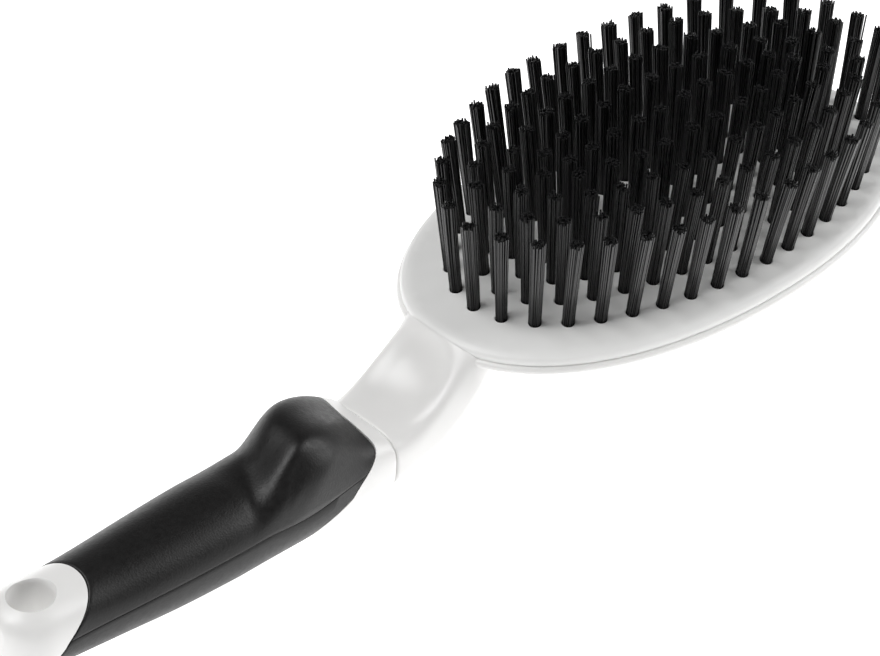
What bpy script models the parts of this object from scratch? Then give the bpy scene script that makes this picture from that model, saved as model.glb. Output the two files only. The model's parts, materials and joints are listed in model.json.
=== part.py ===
"""Pet grooming brush: an oval head of set bristle tufts on a swan neck, with a soft-grip handle.

The pieces are modelled in the head's own frame: +X to the tip of the head, +Z along the bristles, and
zero at the middle of the domed bristle face. At the end one empty lays the whole brush on its back, as
it lies on a table, with zero under the middle of its outline. Units are metres.
"""
import math

import bpy
import bmesh
from mathutils import Matrix, Vector
from mathutils.geometry import delaunay_2d_cdt

# Shared by every piece
CLEARANCE = 0.0003              # gap between neighbouring pieces
OVERRUN = 0.001                 # how far a cutter runs past what it cuts
SMOOTH_ANGLE = math.radians(38)
WELD_DISTANCE = 1e-9

# Head shell: an oval moulding with a rounded lip, a shallow back and a flat land on it
HEAD_HALF_LENGTH = 0.0614
HEAD_HALF_WIDTH = 0.0353
HEAD_CENTRE_X = -0.0032         # middle of the oval from the middle of the tufts
HEAD_SQUARENESS = 2.15          # a little fuller than an ellipse
LIP_HEIGHT = 0.0018
LIP_ROUNDING = 0.0009
LEDGE_WIDTH = 0.0026            # what the bristle plate rests on, lip included
SEAT_DEPTH = 0.0002             # the ledge is faced this much below the lip
BACK_DEPTH = 0.0140             # from the middle of the face to the flat land
LAND_HALF_LENGTH = 0.026
LAND_HALF_WIDTH = 0.012
OVAL_POINTS = 56
LIP_TURNS = (0.0, math.radians(38), math.radians(80))
BACK_CURVE_SHARES = ((1.0, 0.0), (0.96, 0.20), (0.88, 0.42), (0.72, 0.69), (0.42, 0.92), (0.0, 1.0))

# Bristle plate: domed face, rounded edge over a shadow groove, and a spigot in the shell
PLATE_INSET = 0.0007            # edge of the plate inside the shell's lip
PLATE_CROWN = 0.0041            # middle of the face above its edge
PLATE_EDGE = 0.0016
PLATE_ROUNDING = 0.0009
PLATE_TURNS = (math.radians(40), math.radians(90))
GROOVE_DEPTH = 0.0006
GROOVE_HEIGHT = 0.0005
SPIGOT_DEPTH = 0.0012
FACE_SHARES = (0.25, 0.50, 0.72, 0.88)
HOLE_SIDES = 6

# Tufts: rings of bundles, each set square to the domed face
FACE_MARGIN = 0.0074            # bare face outside the outer ring of tufts
RING_SPACING_SHARE = 0.2366     # of the outer ring's half-width
TUFTS_IN_RINGS = (40, 34, 28, 22)
MIDDLE_ROW_TUFTS = 10
RING_STEPS = 1440               # fine steps that a ring's length is measured in
BRISTLE_LENGTH = 0.0215         # above the face
TRIM_UNEVENNESS = 0.0006
STRANDS_PER_TUFT = 3
STRAND_SIDES = 3
STRAND_RADIUS = 0.00041
ROOT_SPREAD = 0.00045           # strand axis from the tuft's axis, under the plate
TIP_SPREAD = 0.00095
BACKING_THICKNESS = 0.0009
BACKING_HALF_WIDTH = 0.0016
GOLDEN_SHARE = 0.618034

# Neck: a swan neck that drops from the head to the handle's collar, ending in a tongue
NECK_SPAN = 0.0184              # from the heel of the head to the joint with the handle
NECK_AXIS_Z = -0.0217
NECK_HALF_WIDTH = 0.0102
NECK_HALF_HEIGHT = 0.0063
NECK_HEAD_HALF_WIDTH = 0.0112
NECK_HEAD_HALF_HEIGHT = 0.0049
NECK_END_INSET = 0.0050         # middle of the neck where its top meets the rim, inside the heel
NECK_END_Z = -0.0066
NECK_RUN = 0.0149               # straight pull of the curve at the collar
NECK_RISE = 0.0025              # and at the head
NECK_RISE_ANGLE = math.radians(62)
NECK_ROOT_INSET = 0.0126        # end of the neck buried in the head
NECK_ROOT_Z = -0.0077
NECK_ROOT_HALF_HEIGHT = 0.0033
NECK_DISH = 0.0009              # hollow along the top of the neck
NECK_STATIONS = 12
NECK_SQUARENESS = 3.4
NECK_HEAD_SQUARENESS = 2.4
SEAM_CHAMFER = 0.0005
TONGUE_LENGTH = 0.0140
TONGUE_HALF_WIDTH = 0.0058
TONGUE_HALF_HEIGHT = 0.0030
TONGUE_TAPER = 0.0006
TONGUE_SQUARENESS = 3.4

# Handle: one core with a collar, a spine and a tail, and a soft grip moulded over the spine
HANDLE_LENGTH = 0.0920
HANDLE_DROP = 0.0213            # handle's axis below the middle of the face
HANDLE_HALF_WIDTH = 0.0112
HANDLE_RISE = 0.0093
HANDLE_FALL = 0.0093
SECTION_POINTS = 32
COLLAR_STATION_SHARES = (0.33, 0.66)
TAIL_STATION_SHARES = (0.30, 0.55, 0.76, 0.91, 1.0)
SPINE_STATION_SHARES = (0.15, 0.30, 0.50, 0.75)

# Soft grip: its edges lean forward over the top and trail behind underneath
GRIP_FRONT = 0.0116             # from the seam, on the widest line of the flank
TAIL_LENGTH = 0.0081            # left bare behind the grip
GRIP_STATIONS = 28
GRIP_CROWDING = 1.35            # more stations near the thumb rest than behind it
GRIP_THICKNESS = 0.0022
GRIP_END_GAP = 0.0008           # along the handle, so about the clearance square to the slanting edge
FRONT_LEAN = 0.0074
FRONT_TRAIL = 0.0130
FRONT_ROUNDING = 0.85
REAR_LEAN = 0.0115
REAR_TRAIL = -0.0089            # underneath, the rear edge leads too, clear of the hanging hole
REAR_DIP = 0.2                  # its hindmost points lie this far below the widest line
REST_CENTRE = 0.0187            # thumb rest, from the seam along the top
REST_FRONT_LENGTH = 0.0186
REST_BACK_LENGTH = 0.0126
REST_HEIGHT = 0.0057
REST_SQUARENESS = 1.4           # added to the section's squareness
REST_LEAN = 0.0072              # the rest is turned towards the thumb's side

# Crease between the thumb rest and the grip's front edge, and the scoop behind the rest
CREASE_CENTRE = 0.0083
CREASE_LEAN = 0.0159
CREASE_HALF_LENGTH = 0.0052
CREASE_DEPTH = 0.0013
CREASE_TURN = math.radians(146)
CREASE_HALF_TURN = math.radians(42)
SCOOP_CENTRE = 0.0290
SCOOP_HALF_LENGTH = 0.0080
SCOOP_DEPTH = 0.0009
SCOOP_TURN = math.radians(112)
SCOOP_HALF_TURN = math.radians(48)

# Hanging hole through the tail
TAIL_HOLE_INSET = 0.0089        # from the end of the tail
TAIL_HOLE_RADIUS = 0.0044
TAIL_HOLE_LIP = 0.0015
TAIL_HOLE_SIDES = 20
TAIL_LIP_STEPS = 4
TAIL_END_SHARE = 0.997          # the round end stops here, in a small flat

# Where along the handle, then its axis drop, half-width, rise, fall and squareness
HANDLE_SHARES = (
    (0.000, 1.019, 0.911, 0.68, 0.68, 3.4),
    (0.040, 1.013, 0.93, 0.79, 0.77, 2.9),
    (0.090, 1.008, 0.955, 0.87, 0.86, 2.6),
    (0.161, 1.004, 0.98, 0.94, 0.96, 2.4),
    (0.242, 1.000, 1.00, 0.99, 1.00, 2.2),
    (0.363, 0.998, 1.00, 0.97, 1.00, 2.1),
    (0.444, 0.994, 1.00, 0.98, 1.00, 2.1),
    (0.586, 0.980, 0.95, 0.93, 0.99, 2.1),
    (0.727, 0.960, 0.87, 0.87, 0.93, 2.1),
    (0.808, 0.946, 0.82, 0.85, 0.88, 2.2),
    (0.903, 0.927, 0.78, 0.85, 0.78, 2.4),
)


def clear_scene():
    for item in list(bpy.data.objects):
        bpy.data.objects.remove(item, do_unlink=True)


def plastic(name, colour, roughness):
    material = bpy.data.materials.new(name)
    material.use_nodes = True
    shader = material.node_tree.nodes["Principled BSDF"]
    shader.inputs["Base Color"].default_value = (*colour, 1.0)
    shader.inputs["Roughness"].default_value = roughness
    shader.inputs["Metallic"].default_value = 0.0
    return material


def mesh_object(name, bm, material):
    bmesh.ops.recalc_face_normals(bm, faces=bm.faces)
    mesh = bpy.data.meshes.new(name)
    bm.to_mesh(mesh)
    bm.free()
    mesh.shade_smooth()
    mesh.set_sharp_from_angle(angle=SMOOTH_ANGLE)
    item = bpy.data.objects.new(name, mesh)
    item.data.materials.append(material)
    bpy.context.scene.collection.objects.link(item)
    return item


def loft(name, rings, material, closed=False):
    """Skins a row of rings; a ring of one point is a pole, and open ends are capped."""
    bm = bmesh.new()
    loops = [[bm.verts.new(point) for point in ring] for ring in rings]
    pairs = list(zip(loops, loops[1:]))
    if closed:
        pairs.append((loops[-1], loops[0]))
    for near, far in pairs:
        count = max(len(near), len(far))
        for i in range(count):
            j = (i + 1) % count
            if len(near) == 1:
                bm.faces.new((near[0], far[j], far[i]))
            elif len(far) == 1:
                bm.faces.new((near[i], near[j], far[0]))
            else:
                bm.faces.new((near[i], near[j], far[j], far[i]))
    if not closed:
        for loop in (loops[0], loops[-1]):
            if len(loop) > 1:
                bm.faces.new(loop)
    return mesh_object(name, bm, material)


def as_cutter(item):
    item.hide_render = True
    item.display_type = "WIRE"
    return item


def combine(item, other, operation):
    change = item.modifiers.new(operation.title(), "BOOLEAN")
    change.operation = operation
    change.solver = "EXACT"
    change.object = as_cutter(other)


def oval(half_length, half_width, z):
    ring = []
    for i in range(OVAL_POINTS):
        t = 2 * math.pi * i / OVAL_POINTS
        x = HEAD_CENTRE_X + half_length * rounded(HEAD_SQUARENESS, math.cos(t))
        ring.append(Vector((x, half_width * rounded(HEAD_SQUARENESS, math.sin(t)), z)))
    return ring


def inset_oval(inset, z):
    return oval(HEAD_HALF_LENGTH - inset, HEAD_HALF_WIDTH - inset, z)


def rounded(power, value):
    return math.copysign(abs(value) ** (2 / power), value)


def spline(rows, where):
    """Smooth values between the rows of a table whose first column is the place."""
    last = len(rows) - 1
    k = max(i for i in range(last) if rows[i][0] <= where or i == 0)
    before, start, end, after = rows[max(k - 1, 0)], rows[k], rows[k + 1], rows[min(k + 2, last)]
    step = end[0] - start[0]
    t = (where - start[0]) / step
    values = []
    for column in range(1, len(start)):
        slope_in = (end[column] - before[column]) / (end[0] - before[0]) * step
        slope_out = (after[column] - start[column]) / (after[0] - start[0]) * step
        values.append((2 * t ** 3 - 3 * t ** 2 + 1) * start[column] + (t ** 3 - 2 * t ** 2 + t) * slope_in
                      + (3 * t ** 2 - 2 * t ** 3) * end[column] + (t ** 3 - t ** 2) * slope_out)
    return values


def bump(offset, half_length):
    """One at no offset, falling smoothly to zero a half-length away."""
    u = offset / half_length
    return (1 - u * u) ** 2 if abs(u) < 1 else 0.0


# Places that follow from the sizes above: along the brush, then the head's levels from the face down
HEEL_X = HEAD_CENTRE_X - HEAD_HALF_LENGTH
NECK_END_X = HEEL_X + NECK_END_INSET
NECK_ROOT_X = HEEL_X + NECK_ROOT_INSET
SEAM_X = HEEL_X - NECK_SPAN
GRIP_REAR = HANDLE_LENGTH - TAIL_LENGTH
TAIL_HOLE_X = HANDLE_LENGTH - TAIL_HOLE_INSET
RING_HALF_LENGTH = HEAD_HALF_LENGTH - FACE_MARGIN
RING_HALF_WIDTH = HEAD_HALF_WIDTH - FACE_MARGIN
RING_SPACING = RING_HALF_WIDTH * RING_SPACING_SHARE
RING_COUNT = len(TUFTS_IN_RINGS)
FACE_HALF_LENGTH = HEAD_HALF_LENGTH - PLATE_INSET
FACE_HALF_WIDTH = HEAD_HALF_WIDTH - PLATE_INSET
EDGE_Z = -PLATE_CROWN
RIM_UNDER_Z = EDGE_Z - PLATE_EDGE
LEDGE_Z = RIM_UNDER_Z - CLEARANCE
SPIGOT_Z = RIM_UNDER_Z - SPIGOT_DEPTH
BACKING_TOP_Z = SPIGOT_Z - CLEARANCE
BACKING_UNDER_Z = BACKING_TOP_Z - BACKING_THICKNESS
CAVITY_FLOOR_Z = BACKING_UNDER_Z - CLEARANCE
LAND_Z = -BACK_DEPTH


def face_height(x, y):
    return -PLATE_CROWN * (((x - HEAD_CENTRE_X) / FACE_HALF_LENGTH) ** 2 + (y / FACE_HALF_WIDTH) ** 2)


def face_normal(x, y):
    slope_x = 2 * PLATE_CROWN * (x - HEAD_CENTRE_X) / FACE_HALF_LENGTH ** 2
    slope_y = 2 * PLATE_CROWN * y / FACE_HALF_WIDTH ** 2
    return Vector((slope_x, slope_y, 1.0)).normalized()


def tuft_places():
    """Rings of (x, y) places, evenly spaced along concentric ovals, and a row down the middle."""
    rings = []
    for k, count in enumerate(TUFTS_IN_RINGS):
        a = RING_HALF_LENGTH - k * RING_SPACING
        b = RING_HALF_WIDTH - k * RING_SPACING
        turns = [2 * math.pi * i / RING_STEPS for i in range(RING_STEPS + 1)]
        corners = [(a * math.cos(t), b * math.sin(t)) for t in turns]
        lengths = [0.0]
        for p, q in zip(corners, corners[1:]):
            lengths.append(lengths[-1] + math.dist(p, q))
        places = []
        mark = 0
        for i in range(count):
            while lengths[mark] < lengths[-1] * i / count:
                mark += 1
            places.append(corners[mark])
        rings.append(places)
    reach = RING_HALF_LENGTH - RING_COUNT * RING_SPACING
    gaps = MIDDLE_ROW_TUFTS - 1
    rings.append([(-reach + 2 * reach * i / gaps, 0.0) for i in range(MIDDLE_ROW_TUFTS)])
    return rings


def on_axis(place, z):
    """Where a tuft's axis passes the level z."""
    x, y = place
    foot = Vector((x, y, face_height(x, y)))
    normal = face_normal(x, y)
    return foot + normal * ((z - foot.z) / normal.z)


def spread_at(height_share):
    return ROOT_SPREAD + (TIP_SPREAD - ROOT_SPREAD) * height_share


def strand_corners(centre, across, along, spread, turn):
    """Corners of one strand's section: a small triangle, flat side outwards from the tuft's axis."""
    middle = centre + spread * (math.cos(turn) * across + math.sin(turn) * along)
    turns = [turn + 2 * math.pi * (i + 0.5) / STRAND_SIDES for i in range(STRAND_SIDES)]
    return [middle + STRAND_RADIUS * (math.cos(t) * across + math.sin(t) * along) for t in turns]


def tuft_strands(place, order):
    """Foot and tip corners of each strand of one tuft."""
    x, y = place
    normal = face_normal(x, y)
    across = Vector((1.0, 0.0, 0.0))
    across = (across - normal * across.dot(normal)).normalized()
    along = normal.cross(across)
    foot = on_axis(place, BACKING_TOP_Z)
    face = Vector((x, y, face_height(x, y)))
    strands = []
    for i in range(STRANDS_PER_TUFT):
        turn = 2 * math.pi * (i / STRANDS_PER_TUFT + order * GOLDEN_SHARE)
        uneven = ((order * STRANDS_PER_TUFT + i) * GOLDEN_SHARE % 1.0 - 0.5) * TRIM_UNEVENNESS
        tip = face + normal * (BRISTLE_LENGTH + uneven)
        low = strand_corners(foot, Vector((1.0, 0.0, 0.0)), Vector((0.0, 1.0, 0.0)), ROOT_SPREAD, turn)
        high = strand_corners(tip, across, along, TIP_SPREAD, turn)
        strands.append((low, high))
    return strands


def backing_outline(places, ring_index):
    """Outer and inner edge of the slice of backing under one ring, or the bar under the middle row."""
    feet = [on_axis(place, BACKING_TOP_Z) for place in places]
    width = BACKING_HALF_WIDTH
    if ring_index == RING_COUNT:
        first, last = feet[0], feet[-1]
        return [Vector((last.x + width, -width)), Vector((last.x + width, width)),
                Vector((first.x - width, width)), Vector((first.x - width, -width))], []
    a = RING_HALF_LENGTH - ring_index * RING_SPACING
    b = RING_HALF_WIDTH - ring_index * RING_SPACING
    outer, inner = [], []
    for place, foot in zip(places, feet):
        outward = Vector((place[0] / a ** 2, place[1] / b ** 2)).normalized()
        outer.append(foot.xy + width * outward)
        inner.append(foot.xy - width * outward)
    return outer, inner


def make_tuft_ring(name, places, ring_index, material):
    """One ring of tufts, its strands fused to a slice of backing, as one closed body."""
    outer, inner = backing_outline(places, ring_index)
    strands = [strand for i, place in enumerate(places) for strand in tuft_strands(place, i)]
    flat = outer + inner
    loops = [list(range(len(outer)))]
    if inner:
        loops.append(list(range(len(outer), len(flat))))
    for low, high in strands:
        loops.append(list(range(len(flat), len(flat) + STRAND_SIDES)))
        flat += [corner.xy for corner in low]
    points, _, faces, sources, _, owners = delaunay_2d_cdt(flat, [], loops, 1, WELD_DISTANCE, True)
    bm = bmesh.new()
    top = [bm.verts.new((p.x, p.y, BACKING_TOP_Z)) for p in points]
    index = {source: i for i, group in enumerate(sources) for source in group}
    for face, owner in zip(faces, owners):
        if owner == [0]:
            bm.faces.new([top[i] for i in face])
    edges = [loops[0]] + ([loops[1]] if inner else [])
    under = []
    for loop in edges:
        ring = [top[index[i]] for i in loop]
        low = [bm.verts.new((v.co.x, v.co.y, BACKING_UNDER_Z)) for v in ring]
        under.append(low)
        for i in range(len(ring)):
            j = (i + 1) % len(ring)
            bm.faces.new((ring[i], ring[j], low[j], low[i]))
    if inner:
        for i in range(len(outer)):
            j = (i + 1) % len(outer)
            bm.faces.new((under[0][i], under[0][j], under[1][j], under[1][i]))
    else:
        bm.faces.new(under[0])
    first = len(edges)
    for loop, (low, high) in zip(loops[first:], strands):
        root = [top[index[i]] for i in loop]
        tip = [bm.verts.new(corner) for corner in high]
        for i in range(STRAND_SIDES):
            j = (i + 1) % STRAND_SIDES
            bm.faces.new((root[i], root[j], tip[j], tip[i]))
        bm.faces.new(tip)
    return mesh_object(name, bm, material)


def tuft_hole_radius():
    """Corner radius of a drilled hole, clear of the strands where they leave the face."""
    below = -BACKING_TOP_Z
    share = below / (below + BRISTLE_LENGTH)
    corner = math.pi / STRAND_SIDES
    reach = math.hypot(spread_at(share) + STRAND_RADIUS * math.cos(corner), STRAND_RADIUS * math.sin(corner))
    return (reach + CLEARANCE) / math.cos(math.pi / HOLE_SIDES)


def make_drill(rings):
    """All the tuft holes as one cutter, each square to the face at its place."""
    radius = tuft_hole_radius()
    bm = bmesh.new()
    for places in rings:
        for x, y in places:
            normal = face_normal(x, y)
            across = Vector((1.0, 0.0, 0.0))
            across = (across - normal * across.dot(normal)).normalized()
            along = normal.cross(across)
            top = Vector((x, y, face_height(x, y))) + OVERRUN * normal
            low = on_axis((x, y), SPIGOT_Z - OVERRUN)
            turns = [2 * math.pi * (i + 0.5) / HOLE_SIDES for i in range(HOLE_SIDES)]
            sides = [radius * (math.cos(t) * across + math.sin(t) * along) for t in turns]
            upper = [bm.verts.new(top + side) for side in sides]
            lower = [bm.verts.new(low + side) for side in sides]
            for i in range(HOLE_SIDES):
                j = (i + 1) % HOLE_SIDES
                bm.faces.new((lower[i], lower[j], upper[j], upper[i]))
            bm.faces.new(upper)
            bm.faces.new(lower[::-1])
    return mesh_object("tuft_drill", bm, bpy.data.materials["white_abs"])


def make_bristle_plate(rings, material):
    """Domed face, rounded edge, shadow groove under it, and the spigot that sits in the shell."""
    edge = PLATE_INSET
    rows = [[Vector((HEAD_CENTRE_X, 0.0, 0.0))]]
    for share in FACE_SHARES:
        rows.append(oval(FACE_HALF_LENGTH * share, FACE_HALF_WIDTH * share, -PLATE_CROWN * share ** 2))
    fillet_share = 1 - PLATE_ROUNDING / FACE_HALF_WIDTH
    rows.append(inset_oval(edge + PLATE_ROUNDING, -PLATE_CROWN * fillet_share ** 2))
    for turn in PLATE_TURNS:
        inward = PLATE_ROUNDING * (1 - math.sin(turn))
        rows.append(inset_oval(edge + inward, EDGE_Z - PLATE_ROUNDING * (1 - math.cos(turn))))
    rows.append(inset_oval(edge, RIM_UNDER_Z + GROOVE_HEIGHT))
    rows.append(inset_oval(edge + GROOVE_DEPTH, RIM_UNDER_Z + GROOVE_HEIGHT / 2))
    rows.append(inset_oval(edge + GROOVE_DEPTH, RIM_UNDER_Z))
    rows.append(inset_oval(LEDGE_WIDTH + CLEARANCE, RIM_UNDER_Z))
    rows.append(inset_oval(LEDGE_WIDTH + CLEARANCE, SPIGOT_Z))
    plate = loft("bristle_plate", rows, material)
    combine(plate, make_drill(rings), "DIFFERENCE")
    return plate


def neck_path(share):
    """Point and forward direction of the neck's middle line, from the seam to inside the head."""
    rise = Vector((math.cos(NECK_RISE_ANGLE), math.sin(NECK_RISE_ANGLE)))
    start = Vector((SEAM_X, NECK_AXIS_Z))
    end = Vector((NECK_END_X, NECK_END_Z))
    p1 = start + Vector((NECK_RUN, 0.0))
    p2 = end - NECK_RISE * rise
    u = 1 - share
    point = u ** 3 * start + 3 * u * u * share * p1 + 3 * u * share * share * p2 + share ** 3 * end
    slope = 3 * u * u * (p1 - start) + 6 * u * share * (p2 - p1) + 3 * share * share * (end - p2)
    return point, slope.normalized()


def neck_section(point, forward, half_width, half_height, dish=0.0, squareness=NECK_SQUARENESS):
    """Rounded bar section square to the path, hollowed along its top."""
    up = Vector((-forward.y, forward.x))
    ring = []
    for i in range(SECTION_POINTS):
        t = 2 * math.pi * (i + 0.5) / SECTION_POINTS
        y = half_width * rounded(squareness, math.cos(t))
        v = half_height * rounded(squareness, math.sin(t))
        if v > 0:
            v -= dish * (1 - (y / half_width) ** 2) ** 2
        spot = point + v * up
        ring.append(Vector((spot.x, y, spot.y)))
    return ring


def make_tongue(name, grow, length, material):
    """Tongue under the neck's end that the handle's socket takes; grow is the clearance round it."""
    rings = []
    for reach, taper in ((-OVERRUN, 0.0), (length, TONGUE_TAPER)):
        point = Vector((SEAM_X - reach, NECK_AXIS_Z))
        rings.append(neck_section(point, Vector((1.0, 0.0)), TONGUE_HALF_WIDTH + grow - taper,
                                  TONGUE_HALF_HEIGHT + grow - taper, squareness=TONGUE_SQUARENESS))
    return loft(name, rings, material)


def make_neck(material):
    rings = [neck_section(Vector((SEAM_X, NECK_AXIS_Z)), Vector((1.0, 0.0)),
                          NECK_HALF_WIDTH - SEAM_CHAMFER, NECK_HALF_HEIGHT - SEAM_CHAMFER)]
    for i in range(NECK_STATIONS):
        share = i / (NECK_STATIONS - 1)
        point, forward = neck_path(share)
        if i == 0:
            point = point + SEAM_CHAMFER * forward
        width = NECK_HALF_WIDTH + (NECK_HEAD_HALF_WIDTH - NECK_HALF_WIDTH) * share
        height = NECK_HALF_HEIGHT + (NECK_HEAD_HALF_HEIGHT - NECK_HALF_HEIGHT) * share
        squareness = NECK_SQUARENESS + (NECK_HEAD_SQUARENESS - NECK_SQUARENESS) * share
        dish = NECK_DISH * math.sin(math.pi * share) ** 2
        rings.append(neck_section(point, forward, width, height, dish, squareness))
    rings.append(neck_section(Vector((NECK_ROOT_X, NECK_ROOT_Z)), Vector((1.0, 0.0)),
                              NECK_HEAD_HALF_WIDTH, NECK_ROOT_HALF_HEIGHT, squareness=NECK_HEAD_SQUARENESS))
    return loft("neck_form", rings, material)


def make_head_shell(material):
    """Oval shell with the neck and its tongue in one moulding, opened for the plate's spigot."""
    lip_under = LEDGE_Z - LIP_HEIGHT
    rows = [inset_oval(LEDGE_WIDTH + OVERRUN, LEDGE_Z)]
    for turn in LIP_TURNS:
        rows.append(inset_oval(LIP_ROUNDING * (1 - math.sin(turn)),
                               LEDGE_Z - LIP_ROUNDING * (1 - math.cos(turn))))
    for turn in LIP_TURNS[:0:-1]:
        rows.append(inset_oval(LIP_ROUNDING * (1 - math.sin(turn)),
                               lip_under + LIP_ROUNDING * (1 - math.cos(turn))))
    lip_length = HEAD_HALF_LENGTH - LIP_ROUNDING
    lip_width = HEAD_HALF_WIDTH - LIP_ROUNDING
    for share, depth in BACK_CURVE_SHARES:
        rows.append(oval(LAND_HALF_LENGTH + (lip_length - LAND_HALF_LENGTH) * share,
                         LAND_HALF_WIDTH + (lip_width - LAND_HALF_WIDTH) * share,
                         lip_under + (LAND_Z - lip_under) * depth))
    shell = loft("head_shell", rows, material)
    combine(shell, make_neck(material), "UNION")
    seat = loft("plate_seat", [inset_oval(PLATE_INSET - CLEARANCE, level)
                               for level in (OVERRUN, LEDGE_Z - SEAT_DEPTH)], material)
    combine(shell, seat, "DIFFERENCE")
    combine(shell, make_tongue("tongue_form", 0.0, TONGUE_LENGTH, material), "UNION")
    well = loft("head_well", [inset_oval(LEDGE_WIDTH, LEDGE_Z + OVERRUN),
                              inset_oval(LEDGE_WIDTH, CAVITY_FLOOR_Z)], material)
    combine(shell, well, "DIFFERENCE")
    return shell


def lean_at(along):
    """How a station leans: its lead on top, its trail underneath, their rounding, and its dip."""
    front = (FRONT_LEAN, FRONT_TRAIL, FRONT_ROUNDING, 0.0)
    rear = (REAR_LEAN, REAR_TRAIL, 0.0, REAR_DIP)
    if along < GRIP_FRONT:
        return [value * along / GRIP_FRONT for value in front]
    if along > GRIP_REAR:
        return [value * (HANDLE_LENGTH - along) / TAIL_LENGTH for value in rear]
    share = (along - GRIP_FRONT) / (GRIP_REAR - GRIP_FRONT)
    return [near + (far - near) * share for near, far in zip(front, rear)]


def handle_point(along, turn, inset, plain):
    """Point of the handle's surface a distance from the seam, turned round from the flank."""
    drop, width, rise, fall, squareness = spline(HANDLE_SHARES, min(along, TAIL_HOLE_X) / HANDLE_LENGTH)
    squeeze = 1.0
    if along > TAIL_HOLE_X:
        squeeze = math.sqrt(1 - ((along - TAIL_HOLE_X) / (HANDLE_LENGTH - TAIL_HOLE_X)) ** 2)
    height = math.sin(turn)
    reach = HANDLE_RISE * rise if height > 0 else HANDLE_FALL * fall
    if not plain and height > 0:
        offset = along - REST_CENTRE + REST_LEAN * math.cos(turn)
        thumb = bump(offset, REST_FRONT_LENGTH if offset < 0 else REST_BACK_LENGTH)
        reach += REST_HEIGHT * thumb
        squareness += REST_SQUARENESS * thumb
        crease = bump(along - CREASE_CENTRE + CREASE_LEAN * math.cos(turn), CREASE_HALF_LENGTH)
        scoop = bump(along - SCOOP_CENTRE, SCOOP_HALF_LENGTH)
        inset += CREASE_DEPTH * crease * bump(turn - CREASE_TURN, CREASE_HALF_TURN)
        inset += SCOOP_DEPTH * scoop * bump(turn - SCOOP_TURN, SCOOP_HALF_TURN)
    y = rounded(squareness, math.cos(turn)) * (HANDLE_HALF_WIDTH * width * squeeze - inset)
    v = rounded(squareness, height) * (reach * math.sqrt(squeeze) - inset)
    return Vector((SEAM_X - along, y, v - HANDLE_DROP * drop))


def handle_ring(along, inset=0.0, plain=False):
    """Ring round the handle, its top leading and its underside trailing."""
    lean, trail, rounding, dip = lean_at(along)
    ring = []
    for i in range(SECTION_POINTS):
        turn = 2 * math.pi * (i + 0.5) / SECTION_POINTS
        height = math.sin(turn) + dip
        height /= 1 + math.copysign(dip, height)
        shift = height * (1 + rounding * (1 - height * height)) * (lean if height > 0 else trail)
        ring.append(handle_point(along - shift, turn, inset, plain))
    return ring


def spine_places():
    return [GRIP_FRONT + (GRIP_REAR - GRIP_FRONT) * share for share in SPINE_STATION_SHARES]


def make_handle_core(material):
    """Collar, spine and tail in one moulding, with the neck's socket and the hanging hole."""
    front = CLEARANCE
    rings = [handle_ring(front, SEAM_CHAMFER), handle_ring(front + SEAM_CHAMFER)]
    rings += [handle_ring(front + (GRIP_FRONT - front) * share) for share in COLLAR_STATION_SHARES]
    rings.append(handle_ring(GRIP_FRONT))
    rings += [handle_ring(along, GRIP_THICKNESS, True) for along in (GRIP_FRONT, *spine_places(), GRIP_REAR)]
    rings.append(handle_ring(GRIP_REAR))
    end = HANDLE_LENGTH * TAIL_END_SHARE
    rings += [handle_ring(GRIP_REAR + (end - GRIP_REAR) * share) for share in TAIL_STATION_SHARES]
    core = loft("handle_core", rings, material)
    socket = make_tongue("tongue_socket", CLEARANCE, TONGUE_LENGTH + CLEARANCE, material)
    combine(core, socket, "DIFFERENCE")
    combine(core, make_hang_hole(material), "DIFFERENCE")
    return core


def make_hang_hole(material):
    """Round hole through the tail, its rims rolled over into the surface."""
    drop, _, rise, fall, _ = spline(HANDLE_SHARES, TAIL_HOLE_X / HANDLE_LENGTH)
    top = HANDLE_RISE * rise
    low = -HANDLE_FALL * fall
    turns = [math.pi / 2 * i / TAIL_LIP_STEPS for i in range(TAIL_LIP_STEPS + 1)]
    rolled = [(TAIL_HOLE_LIP * (1 - math.cos(t)), TAIL_HOLE_LIP * (1 - math.sin(t))) for t in turns]
    rows = [(top + OVERRUN, TAIL_HOLE_LIP + OVERRUN)]
    rows += [(top - depth, flare) for depth, flare in rolled]
    rows += [(low + depth, flare) for depth, flare in rolled[::-1]]
    rows.append((low - OVERRUN, TAIL_HOLE_LIP + OVERRUN))
    rings = []
    for height, flare in rows:
        radius = TAIL_HOLE_RADIUS + flare
        turns = [2 * math.pi * i / TAIL_HOLE_SIDES for i in range(TAIL_HOLE_SIDES)]
        rings.append([Vector((SEAM_X - TAIL_HOLE_X + radius * math.cos(t), radius * math.sin(t),
                              height - HANDLE_DROP * drop)) for t in turns])
    return loft("hang_hole", rings, material)


def make_grip_sleeve(material):
    """Soft sleeve over the spine, flush with the collar and the tail, with a raised thumb rest."""
    front = GRIP_FRONT + GRIP_END_GAP
    rear = GRIP_REAR - GRIP_END_GAP
    rings = []
    for i in range(GRIP_STATIONS):
        share = (i / (GRIP_STATIONS - 1)) ** GRIP_CROWDING
        rings.append(handle_ring(front + (rear - front) * share))
    inner = GRIP_THICKNESS - CLEARANCE
    rings += [handle_ring(along, inner, True) for along in (rear, *spine_places()[::-1], front)]
    return loft("grip_sleeve", rings, material, closed=True)


def lower_line(points):
    """Underside of the outline seen from the side, as the corners a straight table touches."""
    line = []
    for point in sorted(points):
        while len(line) > 1:
            (x0, z0), (x1, z1) = line[-2], line[-1]
            if (x1 - x0) * (point[1] - z0) - (z1 - z0) * (point[0] - x0) > 0:
                break
            line.pop()
        line.append(point)
    return line


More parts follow.
